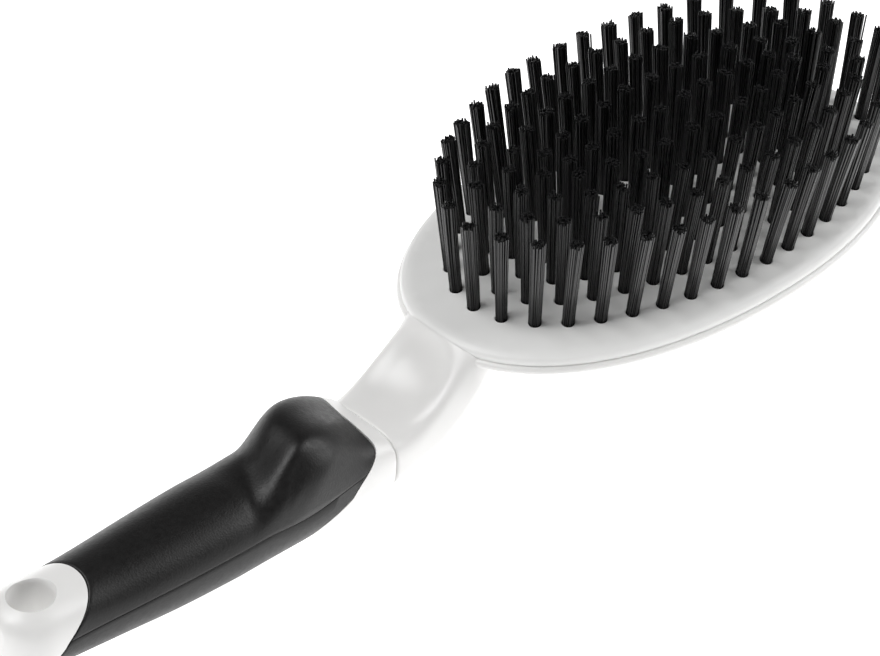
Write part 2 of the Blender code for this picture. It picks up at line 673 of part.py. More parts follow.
def lay_down(pieces):
    """Turns the brush on its back until handle and head both touch, and centres it over zero."""
    bpy.context.view_layer.update()
    graph = bpy.context.evaluated_depsgraph_get()
    points = []
    for piece in pieces:
        mesh = piece.evaluated_get(graph).to_mesh()
        points += [vertex.co.copy() for vertex in mesh.vertices]
        piece.evaluated_get(graph).to_mesh_clear()
    line = lower_line([(p.x, p.z) for p in points])
    spans = sorted(zip(line, line[1:]), key=lambda span: math.dist(*span))
    (x0, z0), (x1, z1) = spans[-1]
    turn = Matrix.Rotation(math.atan2(z1 - z0, x1 - x0), 4, "Y")
    turned = [turn @ p for p in points]
    low = Vector([min(p[axis] for p in turned) for axis in range(3)])
    high = Vector([max(p[axis] for p in turned) for axis in range(3)])
    rest = bpy.data.objects.new("lying_brush", None)
    bpy.context.scene.collection.objects.link(rest)
    rest.rotation_euler = turn.to_euler()
    rest.location = (-(low.x + high.x) / 2, -(low.y + high.y) / 2, -low.z)
    for item in bpy.data.objects:
        if item is not rest:
            item.parent = rest


def main():
    clear_scene()
    white = plastic("white_abs", (0.86, 0.86, 0.85), 0.32)
    soft = plastic("black_tpe", (0.022, 0.022, 0.024), 0.55)
    nylon = plastic("black_nylon", (0.012, 0.012, 0.013), 0.38)
    rings = tuft_places()
    pieces = [make_head_shell(white), make_bristle_plate(rings, white), make_handle_core(white),
              make_grip_sleeve(soft)]
    for k, places in enumerate(rings):
        name = "tufts_middle_row" if k == RING_COUNT else "tufts_ring_%d" % (k + 1)
        pieces.append(make_tuft_ring(name, places, k, nylon))
    lay_down(pieces)


main()
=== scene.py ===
"""Pet grooming brush on a pale floor: fine bristles, a drilled plate and smooth mouldings.

Shapes are given in the head's own frame, as the brush is designed: +X to the tip of the head,
+Z along the bristles, and zero at the middle of the domed bristle face. Units are metres.
"""
import json
import math
import random

import bmesh
import bpy
from mathutils import Matrix, Vector
from mathutils.geometry import delaunay_2d_cdt

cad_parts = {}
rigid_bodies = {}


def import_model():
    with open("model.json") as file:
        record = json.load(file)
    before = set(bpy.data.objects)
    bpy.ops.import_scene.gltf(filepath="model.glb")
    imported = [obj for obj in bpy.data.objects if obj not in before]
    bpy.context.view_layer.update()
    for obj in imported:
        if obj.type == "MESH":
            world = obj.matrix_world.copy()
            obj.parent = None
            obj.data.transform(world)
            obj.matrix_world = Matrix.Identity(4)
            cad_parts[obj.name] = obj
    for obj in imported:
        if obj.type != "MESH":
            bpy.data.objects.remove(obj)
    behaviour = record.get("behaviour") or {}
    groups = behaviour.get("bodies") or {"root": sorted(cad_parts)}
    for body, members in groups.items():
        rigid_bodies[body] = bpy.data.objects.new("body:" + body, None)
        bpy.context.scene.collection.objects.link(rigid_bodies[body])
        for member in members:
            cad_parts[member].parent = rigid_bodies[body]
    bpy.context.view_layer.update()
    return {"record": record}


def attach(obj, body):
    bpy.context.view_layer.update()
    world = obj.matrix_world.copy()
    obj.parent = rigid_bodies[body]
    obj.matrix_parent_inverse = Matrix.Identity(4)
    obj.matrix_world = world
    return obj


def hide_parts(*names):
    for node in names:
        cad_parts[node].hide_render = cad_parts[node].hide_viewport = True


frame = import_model()

CLEARANCE = 0.0003
OVERRUN = 0.001                 # how far a cutter runs past what it cuts
WELD_DISTANCE = 1e-9
SMOOTH_ANGLE = math.radians(40)

# Head
HEAD_HALF_LENGTH = 0.0614
HEAD_HALF_WIDTH = 0.03528
HEAD_CENTRE_X = -0.0032
HEAD_SQUARENESS = 2.15
HEEL_X = HEAD_CENTRE_X - HEAD_HALF_LENGTH
LIP_HEIGHT = 0.0018
LIP_ROUNDING = 0.0009
LIP_STEPS = 5
LEDGE_WIDTH = 0.0026
BACK_DEPTH = 0.0140
LAND_HALF_LENGTH = 0.026
LAND_HALF_WIDTH = 0.012
BACK_CURVE = (                  # row, then the share of the lip's reach and of the depth
    (0, 1.0, 0.0),
    (1, 0.96, 0.20),
    (2, 0.88, 0.42),
    (3, 0.72, 0.69),
    (4, 0.42, 0.92),
    (5, 0.0, 1.0),
)
BACK_STEPS = 22
BACK_TRIM = 0.00012             # by which the back is shallower than the solid's
OUTLINE_POINTS = 168

# Bristle plate
PLATE_INSET = 0.0007
PLATE_CROWN = 0.0041
PLATE_EDGE = 0.0016
PLATE_ROUNDING = 0.0012
VALLEY_DEPTH = 0.00018          # soft hollow between the plate's edge and the lip
VALLEY_HEIGHT = 0.0006
VALLEY_STEPS = 6
RIM_GAP = 0.00001               # between the plate's rim and the lip
SPIGOT_DEPTH = 0.0012
EDGE_STEPS = 6
FACE_GRID = 0.0016              # mesh of the face between its holes
GRID_LENGTH_SHARE = 0.985       # of the face that the mesh covers
GRID_WIDTH_SHARE = 0.97
GRID_HOLE_REACH = 1.35          # hole radii that the mesh stays away from a hole
HOLE_RADIUS = 0.00131
HOLE_SIDES = 18
HOLE_CHAMFER = 0.00012

FACE_HALF_LENGTH = HEAD_HALF_LENGTH - PLATE_INSET
FACE_HALF_WIDTH = HEAD_HALF_WIDTH - PLATE_INSET
EDGE_Z = -PLATE_CROWN
RIM_UNDER_Z = EDGE_Z - PLATE_EDGE
LEDGE_Z = RIM_UNDER_Z - CLEARANCE
SPIGOT_Z = RIM_UNDER_Z - SPIGOT_DEPTH
BACKING_TOP_Z = SPIGOT_Z - CLEARANCE
BACKING_ROOM = 0.0012           # the backing and the gap under it
CAVITY_FLOOR_Z = BACKING_TOP_Z - BACKING_ROOM

# Tufts
FACE_MARGIN = 0.0074
RING_TRIM = 0.0002              # by which the rings are shorter than the solids', at each end
RING_SPACING_SHARE = 0.2366
RING_HALF_LENGTH = HEAD_HALF_LENGTH - FACE_MARGIN - RING_TRIM
RING_HALF_WIDTH = HEAD_HALF_WIDTH - FACE_MARGIN
RING_SPACING = RING_HALF_WIDTH * RING_SPACING_SHARE
TUFTS_IN_RINGS = (40, 34, 28, 22)
MIDDLE_ROW_TUFTS = 10
RING_COUNT = len(TUFTS_IN_RINGS)
RING_STEPS = 1440
BRISTLE_LENGTH = 0.0213
FILAMENT_RADIUS = 0.000198
FILAMENT_PITCH = 0.00036
FILAMENT_SIDES = 5
FILAMENT_RINGS = 3              # round the middle filament of a tuft
FILAMENT_LEVELS = (0.0, 0.20, 0.50, 0.75, 1.0)
FILAMENT_STRAY = 0.45           # of its radius, at the tip
FILAMENT_SMOOTH_ANGLE = math.radians(80)
BUNDLE_PACKING = 0.93           # filaments are drawn in, less so towards the corners
BUNDLE_CORNERS = 0.07
BUNDLE_SPLAY = 1.33             # how much wider a tuft is at its tips
BUNDLE_SPLAY_POWER = 1.3
TIP_UNEVENNESS = 0.00042
TIP_LONGEST = 0.6               # of the unevenness; a filament is cut short by up to all of it
TUFT_UNEVENNESS = 0.0003
TUFT_LEAN = 0.00035
TUFT_SLOPE = 0.14

# Neck
NECK_SPAN = 0.0184
SEAM_X = HEEL_X - NECK_SPAN
NECK_AXIS_Z = -0.0217
NECK_HALF_WIDTH = 0.0102
NECK_HALF_HEIGHT = 0.0063
NECK_HEAD_HALF_WIDTH = 0.0112
NECK_HEAD_HALF_HEIGHT = 0.0049
NECK_END_INSET = 0.0050
NECK_END_X = HEEL_X + NECK_END_INSET
NECK_END_Z = -0.0066
NECK_RUN = 0.0149
NECK_RISE = 0.0025
NECK_RISE_ANGLE = math.radians(62)
NECK_ROOT_INSET = 0.0126
NECK_ROOT_X = HEEL_X + NECK_ROOT_INSET
NECK_ROOT_Z = -0.0077
NECK_ROOT_HALF_HEIGHT = 0.0033
NECK_DISH = 0.0018
NECK_DISH_SHARE = 0.93          # of the half-width that the hollow takes
NECK_EDGE_CRISPNESS = 4.0       # added to the section's squareness on top
NECK_TAPER = 0.30               # of its width, lost by the neck's top on its way to the head
NECK_FLARE = 0.0009             # widening into the head
NECK_FLARE_SHARE = 0.3          # of the neck's length
NECK_STATIONS = 40
NECK_SQUARENESS = 3.4
NECK_HEAD_SQUARENESS = 2.4
SEAM_ROUNDING = 0.0005
SEAM_STEPS = 4

# Handle
HANDLE_LENGTH = 0.0920
HANDLE_DROP = 0.0213
HANDLE_HALF_WIDTH = 0.0112
HANDLE_RISE = 0.0093
HANDLE_FALL = 0.00919
HANDLE_SHARES = (               # place, then drop, half-width, rise, fall and squareness
    (0.000, 1.019, 0.911, 0.68, 0.68, 3.4),
    (0.040, 1.013, 0.93, 0.79, 0.77, 2.9),
    (0.090, 1.008, 0.955, 0.87, 0.86, 2.6),
    (0.161, 1.004, 0.98, 0.94, 0.96, 2.4),
    (0.242, 1.000, 1.00, 0.99, 1.00, 2.2),
    (0.363, 0.998, 1.00, 0.97, 1.00, 2.1),
    (0.444, 0.994, 1.00, 0.98, 1.00, 2.1),
    (0.586, 0.980, 0.95, 0.93, 0.99, 2.1),
    (0.727, 0.960, 0.87, 0.87, 0.93, 2.1),
    (0.808, 0.946, 0.82, 0.85, 0.88, 2.2),
    (0.903, 0.927, 0.78, 0.85, 0.78, 2.4),
)
UPPER_POINTS = 60
LOWER_POINTS = 40
COLLAR_STATIONS = 14
TAIL_STATIONS = 26
SPINE_STEPS = 12
TAIL_CROWDING = 0.985           # stations crowd towards the round end
TAIL_END_SHARE = 0.997          # the round end stops here, in a small flat
TAIL_END = HANDLE_LENGTH * TAIL_END_SHARE
TAIL_HOLE_INSET = 0.0089
TAIL_HOLE_X = HANDLE_LENGTH - TAIL_HOLE_INSET
TAIL_HOLE_RADIUS = 0.0044
TAIL_HOLE_LIP = 0.0015
TAIL_HOLE_SIDES = 64
TAIL_LIP_STEPS = 8

# Soft grip
GRIP_FRONT = 0.0116
TAIL_LENGTH = 0.0081
GRIP_REAR = HANDLE_LENGTH - TAIL_LENGTH
GRIP_STATIONS = 110
GRIP_CROWDING = 1.25
GRIP_THICKNESS = 0.0022
GRIP_END_GAP = 0.00025
GRIP_EDGE_ROLL = 0.0004
GRIP_EDGE_STEPS = 3
GRIP_SMOOTH_ANGLE = math.radians(50)
FRONT_LEAN = 0.0074
FRONT_TRAIL = 0.0130
FRONT_ROUNDING = 0.85
REAR_LEAN = 0.0115
REAR_TRAIL = -0.0089
REAR_DIP = 0.2
REST_CENTRE = 0.0187
REST_FRONT_LENGTH = 0.0186
REST_BACK_LENGTH = 0.0126
REST_HEIGHT = 0.0057
REST_SQUARENESS = 1.4
REST_LEAN = 0.0072
CREASE_CENTRE = 0.0236
CREASE_SLANT = 0.0102           # along the handle for each radian round it
CREASE_STEP_LENGTH = 0.0110     # run of the change from the flat flank to the ball of the rest
CREASE_HALF_LENGTH = 0.0042
CREASE_DEPTH = 0.0002
CREASE_TURN = math.radians(156)
CREASE_UPPER_TURN = math.radians(48)
CREASE_LOWER_TURN = math.radians(20)
FLANK_TURN = math.radians(90)   # where the near flank begins, and how soon it is all flank
FLANK_BLEND = math.radians(50)
SCOOP_CENTRE = 0.0290
SCOOP_HALF_LENGTH = 0.0080
SCOOP_DEPTH = 0.0008
SCOOP_TURN = math.radians(112)
SCOOP_HALF_TURN = math.radians(48)
PARTING_Z = -0.0192             # line along both flanks where the mould's halves met
PARTING_LIFT = 0.0006
PARTING_RISE_LENGTH = 0.012     # it is raised at the grip's front edge, then dips
PARTING_DIP_PLACE = 0.025
PARTING_DIP_LENGTH = 0.013
PARTING_WIDTH = 0.00016
PARTING_DEPTH = 0.00014
PARTING_SHARES = ((-1.0, 0.0), (-0.45, 0.55), (0.0, 1.0), (0.45, 0.55), (1.0, 0.0))
LEVEL_HALVINGS = 24

# Camera, in the head's frame
CAMERA_PLACE = Vector((-0.554143, -0.489818, 0.528732))
CAMERA_RIGHT = Vector((0.721231, -0.692090, 0.028927))
CAMERA_FORWARD = Vector((0.561887, 0.560101, -0.608744))
CAMERA_LENS = 184.09
CAMERA_SENSOR = 36.0
CAMERA_REACH = 10.0

# Studio, in the world
HORIZON_GLOW = 0.9
OVERHEAD_GLOW = 0.03
GLOW_FALL = (0.02, 0.27)        # heights of direction between which the glow falls off
FLOOR_HALF_SIZE = 4.0
FLOOR_DROP = 0.00005            # how far the floor lies under the table's level
FLOOR_GLOW = 1.28
LIGHT_SIZE = 0.8
LIGHT_TARGET = (0.0, 0.0, 0.02)
LIGHTS = (                      # name, place and power
    ("key", (1.0, -0.5, 0.6), 8.6),
    ("overhead", (-0.35, 0.4, 1.15), 9.6),
    ("tail_side", (-0.6, 0.0, 1.2), 4.4),
)

FILAMENT_SEED = 7
SIXTH_TURN = math.pi / 3        # between the corners of a close-packed tuft

# Colours, each with the one that it varies towards
SHELL_WHITE = ((0.80, 0.795, 0.785), (0.76, 0.755, 0.745))
PLATE_WHITE = ((0.80, 0.80, 0.79), (0.76, 0.76, 0.75))
RUBBER_BLACK = ((0.0040, 0.0038, 0.0038), (0.0067, 0.0063, 0.0063))
NYLON_BLACK = ((0.003, 0.003, 0.0033), (0.012, 0.012, 0.0125))


def head_frame():
    """The head's own frame in the world, from the flat land on its back."""
    land = frame["record"]["mounts"][0]
    down = Vector(land["axis"])
    turn = Matrix.Rotation(math.atan2(-down.x, -down.z), 4, "Y")
    zero = Vector(land["pos_m"]) - turn @ Vector((HEAD_CENTRE_X, 0.0, -BACK_DEPTH))
    return Matrix.Translation(zero) @ turn


HEAD = head_frame()


# Materials

def shader_of(name, colour, roughness):
    material = bpy.data.materials.new(name)
    material.use_nodes = True
    shader = material.node_tree.nodes["Principled BSDF"]
    shader.inputs["Base Color"].default_value = (*colour, 1.0)
    shader.inputs["Roughness"].default_value = roughness
    return material, material.node_tree, shader


def noise(tree, scale, detail, roughness=0.5):
    node = tree.nodes.new("ShaderNodeTexNoise")
    node.inputs["Scale"].default_value = scale
    node.inputs["Detail"].default_value = detail
    node.inputs["Roughness"].default_value = roughness
    tree.links.new(tree.nodes.new("ShaderNodeTexCoord").outputs["Object"], node.inputs["Vector"])
    return node.outputs["Fac"]


def spread(tree, value, low, high, low_in=0.3, high_in=0.7):
    node = tree.nodes.new("ShaderNodeMapRange")
    node.inputs["From Min"].default_value = low_in
    node.inputs["From Max"].default_value = high_in
    node.inputs["To Min"].default_value = low
    node.inputs["To Max"].default_value = high
    tree.links.new(value, node.inputs["Value"])
    return node.outputs["Result"]


def blend_colours(tree, share, first, second):
    node = tree.nodes.new("ShaderNodeMix")
    node.data_type = "RGBA"
    node.inputs["A"].default_value = (*first, 1.0)
    node.inputs["B"].default_value = (*second, 1.0)
    tree.links.new(share, node.inputs["Factor"])
    return node.outputs["Result"]


def bump(tree, height, distance, strength):
    node = tree.nodes.new("ShaderNodeBump")
    node.inputs["Distance"].default_value = distance
    node.inputs["Strength"].default_value = strength
    tree.links.new(height, node.inputs["Height"])
    return node.outputs["Normal"]


def white_plastic(name, colours, roughness, grain):
    """White moulding: faint cloudy tone, and a fine grain in gloss and relief."""
    colour, shade = colours
    material, tree, shader = shader_of(name, colour, roughness)
    clouds = spread(tree, noise(tree, scale=55.0, detail=3.0), low=0.0, high=1.0)
    tree.links.new(blend_colours(tree, clouds, colour, shade), shader.inputs["Base Color"])
    gloss = spread(tree, noise(tree, scale=1500.0, detail=3.0),
                   low=roughness - 0.02, high=roughness + 0.03)
    tree.links.new(gloss, shader.inputs["Roughness"])
    relief = bump(tree, noise(tree, scale=2600.0, detail=2.0), distance=grain, strength=0.15)
    tree.links.new(relief, shader.inputs["Normal"])
    shader.inputs["IOR"].default_value = 1.53
    shader.inputs["Subsurface Weight"].default_value = 0.06
    shader.inputs["Subsurface Radius"].default_value = (0.004, 0.004, 0.0038)
    return material


def soft_rubber(name):
    """Soft-touch black: matt charcoal with a fine pebble and slight rubbed patches."""
    dark, rubbed = RUBBER_BLACK
    material, tree, shader = shader_of(name, dark, roughness=0.5)
    patches = spread(tree, noise(tree, scale=90.0, detail=4.0), low=0.0, high=1.0)
    tree.links.new(blend_colours(tree, patches, dark, rubbed), shader.inputs["Base Color"])
    gloss = spread(tree, noise(tree, scale=900.0, detail=3.0), low=0.37, high=0.47)
    tree.links.new(gloss, shader.inputs["Roughness"])
    pebble = tree.nodes.new("ShaderNodeTexVoronoi")
    pebble.inputs["Scale"].default_value = 2300.0
    tree.links.new(tree.nodes.new("ShaderNodeTexCoord").outputs["Object"], pebble.inputs["Vector"])
    relief = bump(tree, pebble.outputs["Distance"], distance=0.00005, strength=0.4)
    tree.links.new(relief, shader.inputs["Normal"])
    shader.inputs["Specular IOR Level"].default_value = 0.35
    shader.inputs["Sheen Weight"].default_value = 0.03
    shader.inputs["Sheen Roughness"].default_value = 0.5
    return material


def nylon(name):
    """Black filaments, each a little different in tone and gloss, with painted shade that dims
    their reflection towards the root.
    """
    material, tree, shader = shader_of(name, (0.006, 0.006, 0.0065), roughness=0.34)
    island = tree.nodes.new("ShaderNodeNewGeometry").outputs["Random Per Island"]
    tone = blend_colours(tree, island, *NYLON_BLACK)
    tree.links.new(tone, shader.inputs["Base Color"])
    gloss = spread(tree, island, low=0.22, high=0.38, low_in=0.0, high_in=1.0)
    tree.links.new(gloss, shader.inputs["Roughness"])
    relief = bump(tree, noise(tree, scale=3000.0, detail=2.0), distance=0.00003, strength=0.4)
    tree.links.new(relief, shader.inputs["Normal"])
    rise = tree.nodes.new("ShaderNodeAttribute")
    rise.attribute_name = "rise"
    # Painted shade: the reflection's tint darkens towards each filament's root, by its share along
    # the filament
    painted_root_shade, unshaded_tip_tint = (0.30, 0.30, 0.30), (1.0, 1.0, 1.0)
    root_shade_share = spread(tree, rise.outputs["Fac"], low=0.0, high=1.0, low_in=0.20, high_in=0.50)
    tree.links.new(blend_colours(tree, root_shade_share, painted_root_shade, unshaded_tip_tint), shader.inputs["Specular Tint"])
    shader.inputs["IOR"].default_value = 1.65
    return material


# Shapes

def rounded(power, value):
    """Sine or cosine for a superellipse: squarer than an ellipse above a power of two."""
    return math.copysign(abs(value) ** (2 / power), value)


def hump(offset, half_length):
    """One at no offset, falling smoothly to zero a half-length away."""
    u = offset / half_length
    return (1 - u * u) ** 2 if abs(u) < 1 else 0.0


def eased(value):
    """Smooth step from zero to one."""
    value = min(max(value, 0.0), 1.0)
    return value * value * (3 - 2 * value)


def spline(rows, where):
    """Smooth values between the rows of a table whose first column is the place."""
    last = len(rows) - 1
    k = max(i for i in range(last) if rows[i][0] <= where or i == 0)
    before, start, end, after = rows[max(k - 1, 0)], rows[k], rows[k + 1], rows[min(k + 2, last)]
    step = end[0] - start[0]
    t = (where - start[0]) / step
    values = []
    for column in range(1, len(start)):
        slope_in = (end[column] - before[column]) / (end[0] - before[0]) * step
        slope_out = (after[column] - start[column]) / (after[0] - start[0]) * step
        values.append((2 * t ** 3 - 3 * t ** 2 + 1) * start[column]
                      + (t ** 3 - 2 * t ** 2 + t) * slope_in
                      + (3 * t ** 2 - 2 * t ** 3) * end[column]
                      + (t ** 3 - t ** 2) * slope_out)
    return values


def oval(half_length, half_width, z):
    ring = []
    for i in range(OUTLINE_POINTS):
        t = 2 * math.pi * i / OUTLINE_POINTS
        x = HEAD_CENTRE_X + half_length * rounded(HEAD_SQUARENESS, math.cos(t))
        ring.append(Vector((x, half_width * rounded(HEAD_SQUARENESS, math.sin(t)), z)))
    return ring


def outline(inset, z):
    return oval(HEAD_HALF_LENGTH - inset, HEAD_HALF_WIDTH - inset, z)


def face_height(x, y):
    across = abs((x - HEAD_CENTRE_X) / FACE_HALF_LENGTH) ** HEAD_SQUARENESS
    across += abs(y / FACE_HALF_WIDTH) ** HEAD_SQUARENESS
    return -PLATE_CROWN * across ** (2 / HEAD_SQUARENESS)


def face_normal(x, y):
    slope_x = 2 * PLATE_CROWN * (x - HEAD_CENTRE_X) / FACE_HALF_LENGTH ** 2
    slope_y = 2 * PLATE_CROWN * y / FACE_HALF_WIDTH ** 2
    return Vector((slope_x, slope_y, 1.0)).normalized()


def tuft_places():
    """Rings of (x, y) places, evenly spaced along concentric ovals, and a row down the middle."""
    rings = []
    for k, count in enumerate(TUFTS_IN_RINGS):
        a = RING_HALF_LENGTH - k * RING_SPACING
        b = RING_HALF_WIDTH - k * RING_SPACING
        turns = [2 * math.pi * i / RING_STEPS for i in range(RING_STEPS + 1)]
        corners = [(a * math.cos(t), b * math.sin(t)) for t in turns]
        lengths = [0.0]
        for p, q in zip(corners, corners[1:]):
            lengths.append(lengths[-1] + math.dist(p, q))
        places = []
        mark = 0
        for i in range(count):
            while lengths[mark] < lengths[-1] * i / count:
                mark += 1
            places.append(corners[mark])
        rings.append(places)
    reach = RING_HALF_LENGTH - RING_COUNT * RING_SPACING
    gaps = MIDDLE_ROW_TUFTS - 1
    rings.append([(-reach + 2 * reach * i / gaps, 0.0) for i in range(MIDDLE_ROW_TUFTS)])
    return rings


def ring_round(middle, radius, across, along, count, start=0.0):
    """Evenly spaced points of a circle."""
    turns = [start + 2 * math.pi * i / count for i in range(count)]
    return [middle + radius * (math.cos(t) * across + math.sin(t) * along) for t in turns]


def axes_at(place):
    """Foot on the face, then across, along and out of the face there."""
    x, y = place
    out = face_normal(x, y)
    across = Vector((1.0, 0.0, 0.0))
    across = (across - out * across.dot(out)).normalized()
    return Vector((x, y, face_height(x, y))), across, out.cross(across), out


def as_object(name, bm, material):
    """A mesh in the head's frame, left out of the scene until it is finished."""
    bmesh.ops.recalc_face_normals(bm, faces=bm.faces)
    mesh = bpy.data.meshes.new(name)
    bm.to_mesh(mesh)
    bm.free()
    mesh.materials.append(material)
    return bpy.data.objects.new(name, mesh)


def finish_piece(item, angle=SMOOTH_ANGLE):
    """Lays a piece in the world and shades it smooth."""
    item.data.transform(HEAD)
    item.data.shade_smooth()
    item.data.set_sharp_from_angle(angle=angle)
    if item.name not in bpy.context.scene.collection.objects:
        bpy.context.scene.collection.objects.link(item)
    return item


def combined(item, steps):
    """Joins or cuts a solid with others, and keeps only the result."""
    scene = bpy.context.scene.collection.objects
    scene.link(item)
    for other, operation in steps:
        scene.link(other)
        change = item.modifiers.new(operation, "BOOLEAN")
        change.operation = operation
        change.solver = "EXACT"
        change.object = other
    bpy.context.view_layer.update()
    graph = bpy.context.evaluated_depsgraph_get()
    result = bpy.data.meshes.new_from_object(item.evaluated_get(graph))
    item.modifiers.clear()
    item.data = result
    for other, _ in steps:
        bpy.data.objects.remove(other, do_unlink=True)
    return item


def skin(bm, loops):
    for near, far in zip(loops, loops[1:]):
        for i in range(len(near)):
            j = (i + 1) % len(near)
            bm.faces.new((near[i], near[j], far[j], far[i]))


def loft(name, rings, material, closed=False):
    bm = bmesh.new()
    loops = [[bm.verts.new(point) for point in ring] for ring in rings]
    skin(bm, loops)
    if closed:
        skin(bm, [loops[-1], loops[0]])
    else:
        bm.faces.new(loops[0])
        bm.faces.new(loops[-1])
    return as_object(name, bm, material)


def make_plate(rings, material):
    """Smooth dome with a chamfered hole for each tuft, a rounded edge and the spigot."""
    flat = [v.xy for v in outline(PLATE_INSET + PLATE_ROUNDING, 0.0)]
    loops = [list(range(len(flat)))]
    holes = []
    for places in rings:
        for place in places:
            foot, across, along, _ = axes_at(place)
            rim = ring_round(foot, HOLE_RADIUS + HOLE_CHAMFER, across, along, HOLE_SIDES)
            loop = list(range(len(flat), len(flat) + HOLE_SIDES))
            flat += [spot.xy for spot in rim]
            loops.append(loop)
            holes.append((place, loop))
    centres = [Vector(place) for places in rings for place in places]
    inner_a = (HEAD_HALF_LENGTH - PLATE_INSET - PLATE_ROUNDING) * GRID_LENGTH_SHARE
    inner_b = (HEAD_HALF_WIDTH - PLATE_INSET - PLATE_ROUNDING) * GRID_WIDTH_SHARE
    clear = HOLE_RADIUS * GRID_HOLE_REACH
    columns = int(inner_a / FACE_GRID)
    lines = int(inner_b / FACE_GRID)
    for i in range(-columns, columns + 1):
        for j in range(-lines, lines + 1):
            spot = Vector((HEAD_CENTRE_X + i * FACE_GRID, j * FACE_GRID))
            within = abs(i * FACE_GRID / inner_a) ** HEAD_SQUARENESS
            within += abs(spot.y / inner_b) ** HEAD_SQUARENESS
            if within < 1 and min((spot - c).length for c in centres) > clear:
                flat.append(spot)
    points, _, faces, sources, _, owners = delaunay_2d_cdt(flat, [], loops, 1, WELD_DISTANCE, True)
    index = {source: i for i, group in enumerate(sources) for source in group}
    bm = bmesh.new()
    top = [bm.verts.new((p.x, p.y, face_height(p.x, p.y))) for p in points]
    for face, owner in zip(faces, owners):
        if owner == [0]:
            bm.faces.new([top[i] for i in face])
    for place, loop in holes:
        foot, across, along, out = axes_at(place)
        rows = [[top[index[i]] for i in loop]]
        depth = (foot.z - SPIGOT_Z) / out.z
        for sink in (HOLE_CHAMFER, depth):
            row = ring_round(foot - sink * out, HOLE_RADIUS, across, along, HOLE_SIDES)
            if sink == depth:
                for spot in row:
                    spot.z = SPIGOT_Z
            rows.append([bm.verts.new(spot) for spot in row])
        skin(bm, rows)
        bm.faces.new(rows[-1])
    rows = [[top[index[i]] for i in loops[0]]]
    for i in range(1, EDGE_STEPS + 1):
        turn = math.pi / 2 * i / EDGE_STEPS
        inward = PLATE_ROUNDING * (1 - math.sin(turn))
        drop = PLATE_ROUNDING * (1 - math.cos(turn))
        rows.append([bm.verts.new(v) for v in outline(PLATE_INSET + inward, EDGE_Z - drop)])
    under = LEDGE_Z + RIM_GAP
    for i in range(VALLEY_STEPS + 1):
        share = i / VALLEY_STEPS
        sink = VALLEY_DEPTH * (1 - math.cos(math.pi / 2 * share))
        level = under + VALLEY_HEIGHT * (1 - share)
        rows.append([bm.verts.new(v) for v in outline(PLATE_INSET + sink, level)])
    for level in (under, SPIGOT_Z):
        rows.append([bm.verts.new(v) for v in outline(LEDGE_WIDTH + CLEARANCE, level)])
    skin(bm, rows)
    bm.faces.new(rows[-1])
    return finish_piece(as_object("drilled_plate", bm, material))


def bundle_places():
    """Close-packed places of the filaments in a tuft, from its axis."""
    spots = [(0.0, 0.0)]
    for k in range(1, FILAMENT_RINGS + 1):
        turns = [SIXTH_TURN * c for c in range(7)]
        reach = k * FILAMENT_PITCH
        corners = [(reach * math.cos(t), reach * math.sin(t)) for t in turns]
        for (x0, y0), (x1, y1) in zip(corners, corners[1:]):
            for i in range(k):
                spots.append((x0 + (x1 - x0) * i / k, y0 + (y1 - y0) * i / k))
    return spots


def make_tufts(name, places, material, chance):
    """One ring of tufts: bundles of fine filaments, splayed a little towards an uneven cut."""
    bm = bmesh.new()
    spots = bundle_places()
    widest = FILAMENT_RINGS * FILAMENT_PITCH
    # Share along each filament, root to tip, which its material reads for painted shade at the
    # root
    rise = bm.verts.layers.float.new("rise")
    for place in places:
        foot, across, along, out = axes_at(place)
        root = (foot.z - BACKING_TOP_Z) / out.z
        turn = chance.uniform(0.0, SIXTH_TURN)
        lean = Vector((chance.uniform(-1, 1), chance.uniform(-1, 1))) * TUFT_LEAN
        cut = chance.uniform(-1, 1) * TUFT_UNEVENNESS
        slope = Vector((chance.uniform(-1, 1), chance.uniform(-1, 1))) * TUFT_SLOPE
        for u, v in spots:
            reach = math.hypot(u, v)
            round_off = BUNDLE_PACKING + BUNDLE_CORNERS * (reach / widest) ** 2
            a = (u * math.cos(turn) - v * math.sin(turn)) * round_off
            b = (u * math.sin(turn) + v * math.cos(turn)) * round_off
            stray = Vector((chance.gauss(0, 1), chance.gauss(0, 1)))
            stray = stray * FILAMENT_RADIUS * FILAMENT_STRAY
            tip = BRISTLE_LENGTH + cut + a * slope.x + b * slope.y
            tip += chance.uniform(-1, TIP_LONGEST) * TIP_UNEVENNESS
            spin = chance.uniform(0, 2 * math.pi)
            loops = []
            for share in FILAMENT_LEVELS:
                wide = 1 + (BUNDLE_SPLAY - 1) * share ** BUNDLE_SPLAY_POWER
                mid = foot + out * (tip * share - root * (1 - share))
                mid = mid + across * (a * wide + stray.x * share + lean.x * share ** 2)
                mid = mid + along * (b * wide + stray.y * share + lean.y * share ** 2)
                section = ring_round(mid, FILAMENT_RADIUS, across, along, FILAMENT_SIDES, spin)
                loops.append([bm.verts.new(spot) for spot in section])
                for corner in loops[-1]:
                    corner[rise] = share
            skin(bm, loops)
            bm.faces.new(loops[0])
            bm.faces.new(loops[-1])
    return finish_piece(as_object(name, bm, material), FILAMENT_SMOOTH_ANGLE)


def quarter(steps):
    """Inset and run of a quarter round, as shares of its radius, from its face to its side."""
    turns = [math.pi / 2 * i / steps for i in range(steps + 1)]
    return [(1 - math.sin(t), 1 - math.cos(t)) for t in turns]


def neck_path(share):
    """Point and forward direction of the neck's middle line, from the seam to inside the head."""
    rise = Vector((math.cos(NECK_RISE_ANGLE), math.sin(NECK_RISE_ANGLE)))
    start = Vector((SEAM_X, NECK_AXIS_Z))
    end = Vector((NECK_END_X, NECK_END_Z))
    p1 = start + Vector((NECK_RUN, 0.0))
    p2 = end - NECK_RISE * rise
    u = 1 - share
    point = u ** 3 * start + 3 * u * u * share * p1 + 3 * u * share * share * p2 + share ** 3 * end
    slope = 3 * u * u * (p1 - start) + 6 * u * share * (p2 - p1) + 3 * share * share * (end - p2)
    return point, slope.normalized()


